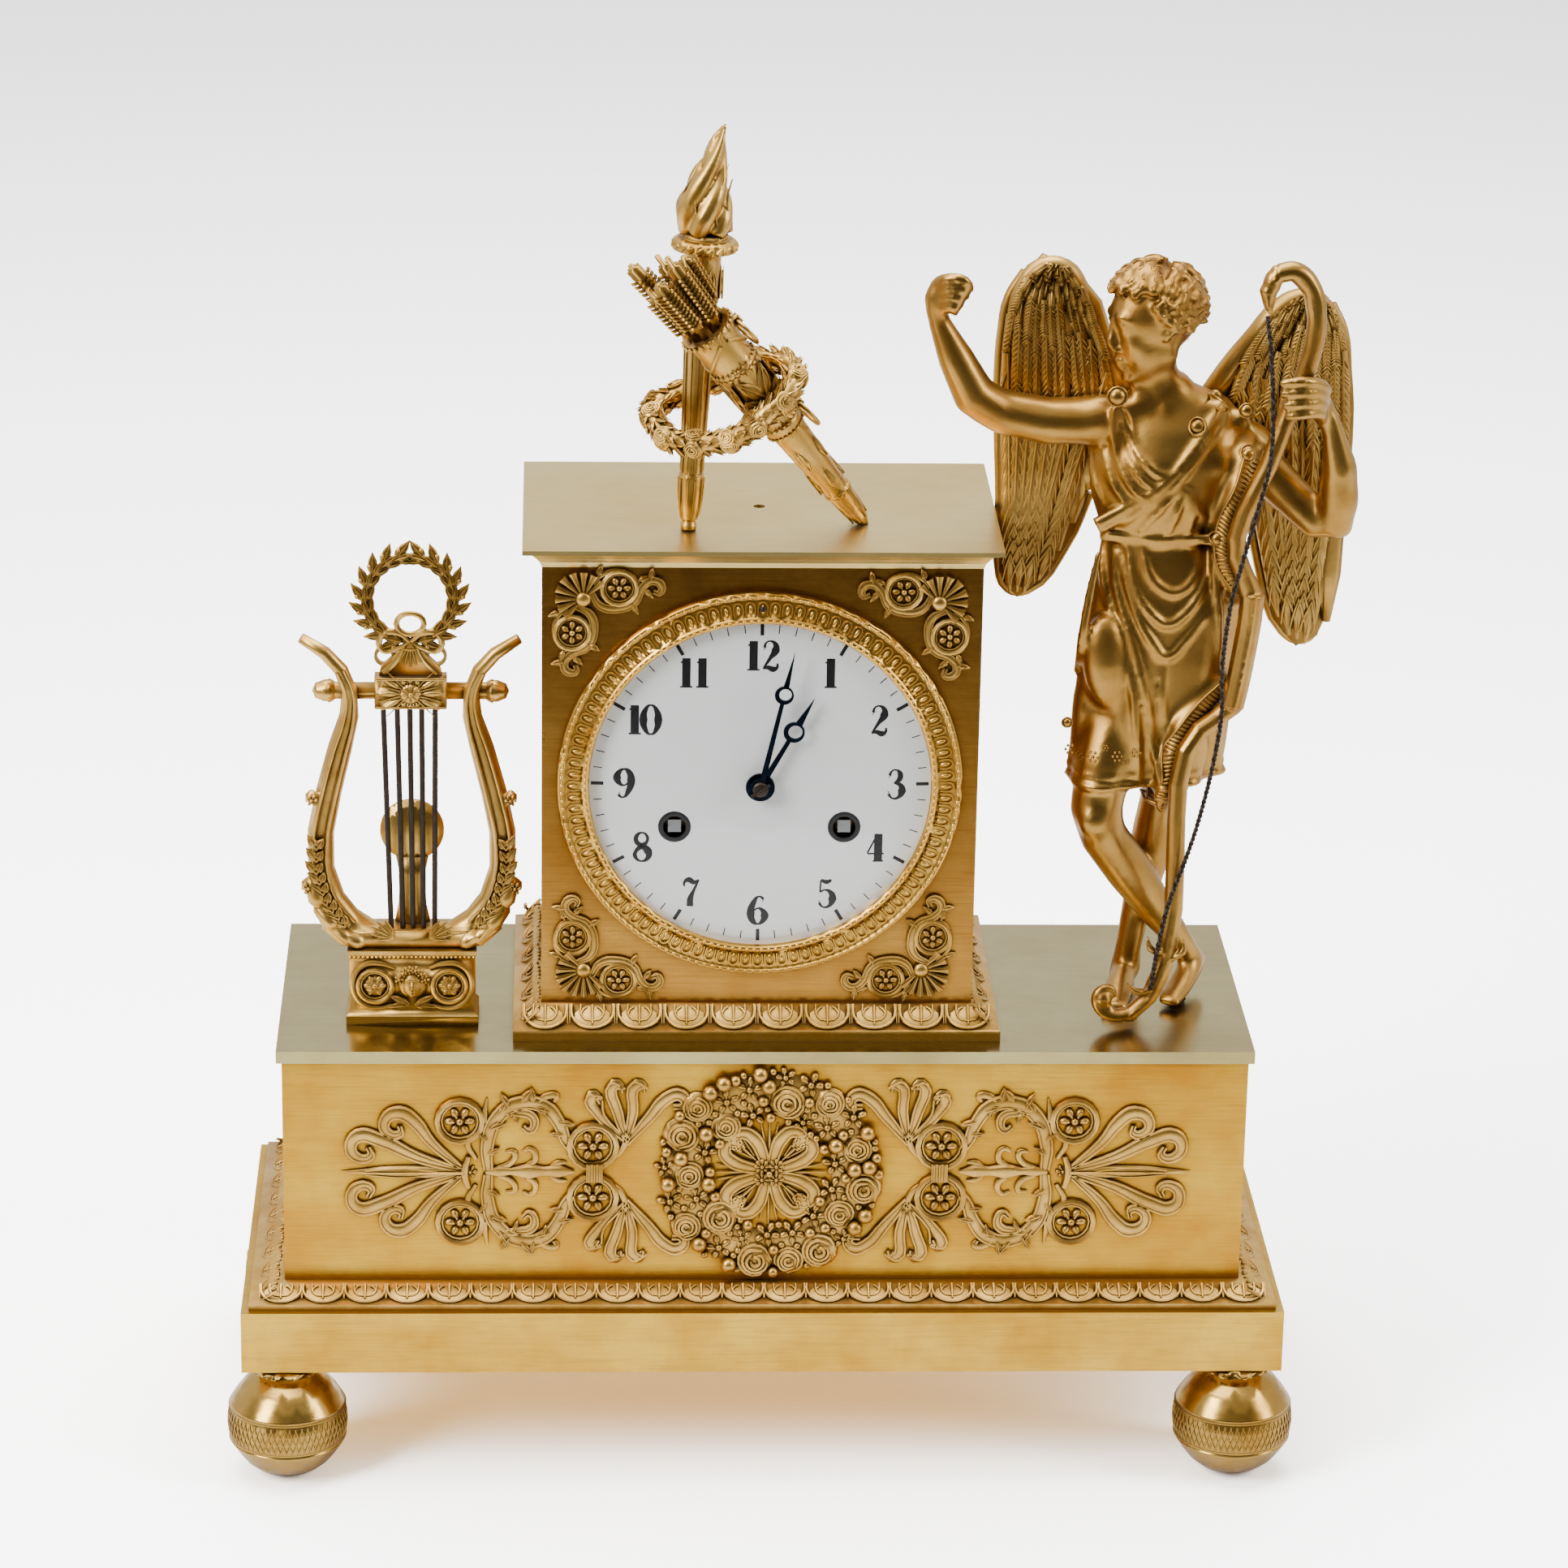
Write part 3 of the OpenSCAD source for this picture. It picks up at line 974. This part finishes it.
// A garland of bell flowers: a closed tube that swells and narrows, round the torch and the quiver
garland_route = [[-30, -18, 30], [-26, -25, 26.5], [-18, -28, 26], [-9, -31, 29], [-3, -31, 34],
    [3.6, -28, 40],
    [4, -20.5, 44], [-3, -14, 44], [-12, -9.4, 38], [-22, -9.4, 34], [-28.5, -12, 32]];
garland_steps = 4;
function curve(a, b, c, d, t) = b + (c - a) * t / 2 + (2 * a - 5 * b + 4 * c - d) * t * t / 2
    + (3 * b - a - 3 * c + d) * t * t * t / 2;
function closed_curve(p, k) = let (n = len(p)) [for (i = [0:n - 1]) for (j = [0:k - 1])
    curve(p[(i + n - 1) % n], p[i], p[(i + 1) % n], p[(i + 2) % n], j / k)];
module closed_tube(p, r, m, side) {
    n = len(p);
    rings = [for (i = [0:n - 1]) hoop(p[i], unit(p[(i + 1) % n] - p[(i + n - 1) % n]), side,
        r[i % len(r)], r[i % len(r)], m)];
    polyhedron(points = [for (r = rings) each r], faces = [for (j = [0:n - 1]) for (i = [0:m - 1])
        let (a = j * m + i, b = j * m + (i + 1) % m, c = (j + 1) % n * m + (i + 1) % m,
            d = (j + 1) % n * m + i)
        each [[a, d, c], [a, c, b]]]);
}
module garland() color("goldenrod") translate([origin_x, 0, shelf_z])
    closed_tube(closed_curve(garland_route, garland_steps), [2.9, 2.5, 2.1, 1.8], 8, [-0.3, 0.2, 1]);

// Figure of a winged youth, drawn with the floor of the base top at Z = 0

module in_figure() translate([origin_x + figure_x, 0, top_z]) children();
foot_studs = [[-9, -6], [5, -8]];

// Tunic: oval rings with folds, [z, middle x, middle y, half width, half depth, fold]
body_rings = [[61, -6, -2, 21.4, 14.5, 0.2], [64, -6, -2, 21.6, 14.8, 0.2], [80, -5, -3, 22, 14.5, 0.16],
    [95, -3, -3, 22.3, 14, 0.12], [108, -1.6, -3, 21.4, 13.2, 0.08], [118, -3.4, -3, 17.4, 11.6, 0.05],
    [126, -5.1, -3, 14.2, 10.2, 0.02], [128, -5, -3, 14.6, 10.6, 0.02],
    [138, -4.3, -3.4, 18.6, 12.6, 0.02], [148, -3.4, -3.2, 19.8, 12.6, 0.01],
        [156, -1.6, -2.2, 18.6, 10.4, 0], [162, -1.6, -1.6, 14, 7.8, 0],
    [166, -4, -2, 7, 6.2, 0], [171, -6, -3.4, 5.8, 5.8, 0]];
module tunic() loft([for (b = body_rings) [for (k = [0:27]) let (a = 360 * k / 28,
    f = 1 - b[5] * (1 - cos(a * 7 + 40)) / 2)
    [b[1] + b[3] * f * cos(a), b[2] + b[4] * f * sin(a), b[0]]]]);

// Legs, crossed: the standing leg at the back, the other with its heel raised
module legs() {
    limb([[4, 0, 90], [3, 1, 66], [0.5, 2, 56], [-2, 3, 40], [-5.5, 2.5, 22], [-7.5, 1, 11], [-8, 1.5, 4]],
        [9, 7.6, 6, 6.2, 4.2, 3.6, 4.4], 10);
    limb([[-8.5, 4, 2.6], [-9.4, -4, 4], [-11.4, -12, 3], [-13, -20, 1.8]], [[3.6, 3], [3.8, 3.8],
        [4.4, 2.6], [4, 1.6]], 8, [0, 0, 1]);
    limb([[-12, -4, 84], [-17, -10, 66], [-18.6, -11.5, 54], [-16.5, -11, 47], [-9, -8, 36],
        [-1, -6, 24], [6, -3, 14], [9.4, 0, 8]],
        [9, 7.8, 7, 6.4, 6.4, 5, 3.6, 3.4], 10);
    limb([[11.4, 3.5, 7.4], [9, -2, 6.6], [5, -9, 3.4], [1.4, -16, 1.8]], [[2.8, 3.2], [3.4, 3.6],
        [4, 2.4], [3.6, 1.6]], 8, [0, 0, 1]);
}

// Head in a neutral classical form, turned a little to the left, under short curls
module head() {
    translate([-8, -5, 183]) rotate([0, 0, -52]) rotate([12, 0, 0]) {
        loft([for (p = [[-15, 1, 3.4, 3.6], [-13, 0.2, 5.8, 6.4], [-9, 0, 7.2, 8.2],
            [-4, 0.6, 8.2, 9.6], [2, 1, 8.8, 10.6], [8, 1.4, 8.6, 10.4], [12, 1.6, 6.4, 8],
            [14.4, 1.6, 2.6, 3.4]])
            hoop([0, p[1], p[0]], [0, 0, 1], [0, 1, 0], p[2], p[3], 14)]);
        loft([for (p = [[-6.6, -8.4, 1.2, 1], [-5, -10.2, 1.9, 1.6], [-1.6, -9.6, 1.3, 1.6],
            [2.6, -8.6, 1, 1.6]]) hoop([0, p[1], p[0]], [0, 0, 1], [0, 1, 0], p[2], p[3], 6)]);
        for (i = [0:6]) translate([8.4 * cos(i * 30), 1.4 + 8.6 * sin(i * 30),
            5 + 2 * sin(i * 97)]) sphere(r = 3.1, $fn = 7);
        for (i = [0:5]) translate([6.6 * cos(i * 60 + 15), 1 + 8.4 * sin(i * 60 + 15),
            9.6 + sin(i * 140)]) sphere(r = 3.3, $fn = 7);
        for (i = [0:3]) translate([3.6 * cos(i * 90), 1.4 + 4.6 * sin(i * 90), 13]) sphere(r = 3.1, $fn = 7);
    }
}

module finger(p, q, r) hull() {
    translate(p) sphere(r = r, $fn = 8);
    translate(q) sphere(r = r * 0.85, $fn = 8);
}
module arms() {
    limb([[-8, -3, 157], [-20, -4, 156.5], [-34, -5, 157], [-46, -6, 159.5], [-53, -7, 164],
        [-58, -8, 174], [-62.6, -9, 184], [-63.6, -9.6, 188]],
        [6.4, 6.5, 6.1, 6, 5.8, 4.8, 3, 2.8], 10);
    limb([[-63.6, -9.6, 186], [-63, -10, 190.5], [-61.6, -10.4, 195]], [[3, 2.6], [3.8, 2.9], [3.2, 2.4]], 8);
    for (i = [0:3]) finger([-60.6 - i * 0.6, -12, 195 - i * 2.1],
        [-55.6 - i * 1, -12.6 - i * 0.2, 192.4 - i * 1.9], 1.25);
    finger([-61, -8.4, 191], [-57, -9, 190.6], 1.4);
    limb([[9, -2, 154.4], [18, -3, 148], [27, -5, 139], [36, -8, 131], [39.6, -10, 131.4],
        [40.2, -12, 138], [39.6, -14, 148], [37, -15.6, 158], [35.4, -16, 162]],
        [6.8, 6.4, 5.6, 5.2, 5.4, 5.2, 4.6, 3, 3], 10);
    limb([[36, -16, 160], [33, -16.4, 165], [29.6, -16.4, 170]], [[3, 2.4], [4, 2.6], [3.4, 2.2]], 8);
    for (i = [0:3]) {
        finger([34.2 - i * 0.3, -18.4, 170.6 - i * 2.4], [29.6 - i * 0.3, -23.6, 171.8 - i * 2.6], 1.4);
        finger([29.6 - i * 0.3, -23.6, 171.8 - i * 2.6], [22 + i * 0.5, -24, 173 - i * 3], 1.3);
    }
    finger([31, -13.4, 168], [24.6, -12, 168.6], 1.4);
}
// Goat skin wound round the bow: one fringed strip above the grip and one below it
module drapery() {
    limb([[16.4, -9, 151], [14.4, -11, 142], [11.8, -11.6, 134], [11.2, -11.6, 127],
        [12.4, -11, 121], [15.4, -10, 115], [18, -9, 110.6]],
        [[2.6, 4], [3.4, 4.8], [3.4, 5], [3.4, 5], [3.8, 5], [4, 4.6], [3, 3]], 8);
    limb([[14.6, -11.6, 90], [8, -14.6, 84.6], [2.6, -16.6, 78.4], [0, -17, 70.6], [-1.8, -16.6, 61],
        [-2.2, -15.6, 55]],
        [[2.8, 3.4], [3, 2.6], [3.2, 2.2], [3.2, 2.2], [3, 2.2], [2.2, 1.8]], 8);
    for (s = [[-15, -6, 160], [15, -6, 158]]) translate(s) sphere(r = 3, $fn = 8);
}
bow_path = [[18.8, -20.5, 190.6], [18.4, -20.5, 195], [20.6, -20.5, 199.8], [25.2, -20.4, 200],
    [29.4, -20.2, 195.6], [31, -20, 188], [30.4, -19.6, 180], [28, -19, 171],
    [24, -19.6, 160], [20.6, -20, 149.5], [17.2, -19.8, 142], [15, -19.4, 136.5], [13.6, -19, 130.5],
    [13.9, -18.6, 125.5], [16, -18, 120.5], [18.4, -17.2, 114.6], [18.2, -16.6, 107.5], [17.1, -16.4, 99],
    [16, -16.4, 91], [14.4, -16.6, 84.5], [10.6, -17.6, 81.4], [6.4, -19.2, 79], [2.8, -20.6, 73.6],
    [1.2, -21.4, 65], [1, -22, 55], [1.2, -22.4, 44], [1.2, -23, 31], [-0.6, -24.4, 17],
    [-4.6, -25.6, 7.6], [-9.6, -26.6, 3.2], [-14, -27, 3.4],
    [-16.6, -27, 6.6]];
grip_swell = 1.25;
module bow_limb(extra) {
    h = bow_t / 2 + extra;
    limb(bow_path, [for (i = [0:len(bow_path) - 1])
        let (k = i < 1 ? 0.5 : i < 3 ? 0.95 : i > 14 && i < 20 ? grip_swell : i < 28 ? 1 : i < 30 ? 0.9 : 0.7)
            h * k], 10);
}
module figure_body() color("goldenrod") in_figure() {
    difference() {
        union() {
            tunic();
            legs();
            head();
            drapery();
        }
        bow_limb(seat);
        block(200, 120, -8, 0);
    }
    for (p = foot_studs) translate([p[0], p[1], -top_plate_h - 3]) cylinder(d = figure_stud_d,
        h = top_plate_h + 5, $fn = 24);
}

// The two arms, cast apart and pinned to the shoulders
module figure_arms() color("goldenrod") in_figure() difference() {
    arms();
    tunic();
    drapery();
    bow_limb(seat);
}

// Wings: a curved slab inside each outline, a rolled leading edge and rows of feathers
left_outline = [[-13, 158], [-17.5, 170], [-22, 184], [-28.6, 193.6], [-35.5, 196.8], [-42, 189],
    [-45.2, 174], [-46, 152], [-45, 130], [-44.2, 113], [-39.4, 106],
    [-32, 112], [-25, 124], [-21, 138], [-16, 150]];
right_outline = [[8, 158], [12, 166], [20, 175], [26, 184], [32, 188.6], [39, 182], [43.6, 172],
    [45.4, 157], [45, 136], [43, 114], [39, 96], [33.4, 93],
    [27, 101], [23.4, 116], [21, 134], [14, 150]];
// A feather is a flat tapered loft from its root to its tip
module feather(a, b, w, y) limb([[a[0], y, a[1]],
    [(a[0] * 2 + b[0]) / 3, y - 0.5, (a[1] * 2 + b[1]) / 3],
    [(a[0] + b[0] * 3) / 4, y - 0.4, (a[1] + b[1] * 3) / 4], [b[0], y, b[1]]],
    [[w * 0.7, 0.9], [w, 1], [w * 0.95, 0.9], [w * 0.35, 0.6]], 6);
module wing(outline, edge_path, tips, roots, coverts, y) {
    translate([0, y + 3, 0]) rotate([90, 0, 0]) linear_extrude(3) polygon(outline);
    limb([for (p = edge_path) [p[0], y + 0.6, p[1]]], [for (i = [0:len(edge_path) - 1]) 3.1 - 0.25 * i], 8);
    for (i = [0:len(tips) - 1]) feather(roots[i], tips[i], 3, y - 0.6);
    for (c = coverts) feather([c[0], c[1]], [c[2], c[3]], 3.2, y - 1.6);
}
module wing_left() color("darkgoldenrod") in_figure() difference() {
    wing(left_outline, [[-12, 158], [-18, 170], [-22.5, 184], [-28.5, 191.6], [-35.5, 194.4],
        [-41.2, 187.6], [-43.4, 176]],
        [[-41.5, 110], [-37.5, 109], [-33.5, 113], [-29.5, 119], [-26, 126.4], [-22.2, 135.4]],
        [[-42.6, 160], [-38.4, 150], [-34, 148], [-29.6, 146], [-25.6, 148], [-21.6, 152]],
        [[-38, 184, -42, 160], [-33, 184, -36.6, 156], [-28.6, 180, -31.4, 152], [-24, 172.4, -27, 150.6],
            [-19.6, 164, -21.6, 148]], 6.2);
    tunic();
}
module wing_right() color("darkgoldenrod") in_figure() difference() {
    wing(right_outline, [[7, 158], [13, 165], [21, 174], [26.5, 182], [32, 186.2], [38, 180.6], [41.4, 170]],
        [[41, 100], [37, 97], [33, 98], [29, 104], [26, 113], [23.6, 126]],
        [[42, 152], [38, 146], [34, 144], [30, 142], [26, 144], [22, 148]],
        [[36, 178, 41.6, 154], [31, 176, 36.4, 148], [26, 172, 31, 146], [21, 166, 26, 146],
            [16, 160, 21, 146]], 6);
    tunic();
}
module bow() color("goldenrod") in_figure() difference() {
    union() {
        bow_limb(0);
        translate([-16.6, -27, 8]) sphere(r = 2.6, $fn = 10);
    }
    block(200, 120, -8, seat);
}
// The cord of the bow, from the beak to the lower curl. Its length along these points is 202 mm
cord_route = [[18.6, -20.6, 188.6], [19.6, -22.6, 180], [20.6, -24.4, 166], [20.4, -25.4, 152],
    [17.6, -25.8, 139], [14.6, -25.6, 126], [12, -25.6, 114],
    [10.6, -25.8, 98], [11, -26, 86], [9.4, -26, 72], [6.6, -26.2, 58], [3.6, -26.6, 47],
        [-0.6, -27, 34], [-3, -27.6, 22], [-4.2, -28.2, 13], [-4.8, -28.2, 10.6]];
cord_r = 0.6;
module bowstring() color("black") in_figure() limb(cord_route, cord_r, 8);

ball_feet();
plinth();
base_moulding();
base_box();
base_top_plate();
base_fixings();
base_side_mounts();
base_mount_centre();
case_moulding();
case_box();
case_top_plate();
corner_mounts();
bezel();
dial();
dial_plate();
hour_hand();
minute_hand();
hand_collet();
front_plate();
back_plate();
centre_wheel();
minute_wheel();
hour_wheel();
going_barrel();
going_arbor();
third_wheel();
escape_wheel();
anchor();
strike_barrel();
strike_arbor();
strike_pin_wheel();
hammer();
bell();
bell_stand();
back_cock();
pendulum_rod();
pendulum_bob();
movement_straps();
rear_bezel();
rear_door();
hinge_pin();
lyre_base();
lyre_frame();
lyre_crossbar();
lyre_strings();
lyre_wreath();
lyre_patera();
torch_stem();
torch_flame();
quiver();
arrows();
quiver_ring_upper();
quiver_ring_lower();
garland();
figure_body();
figure_arms();
wing_left();
wing_right();
bow();
bowstring();
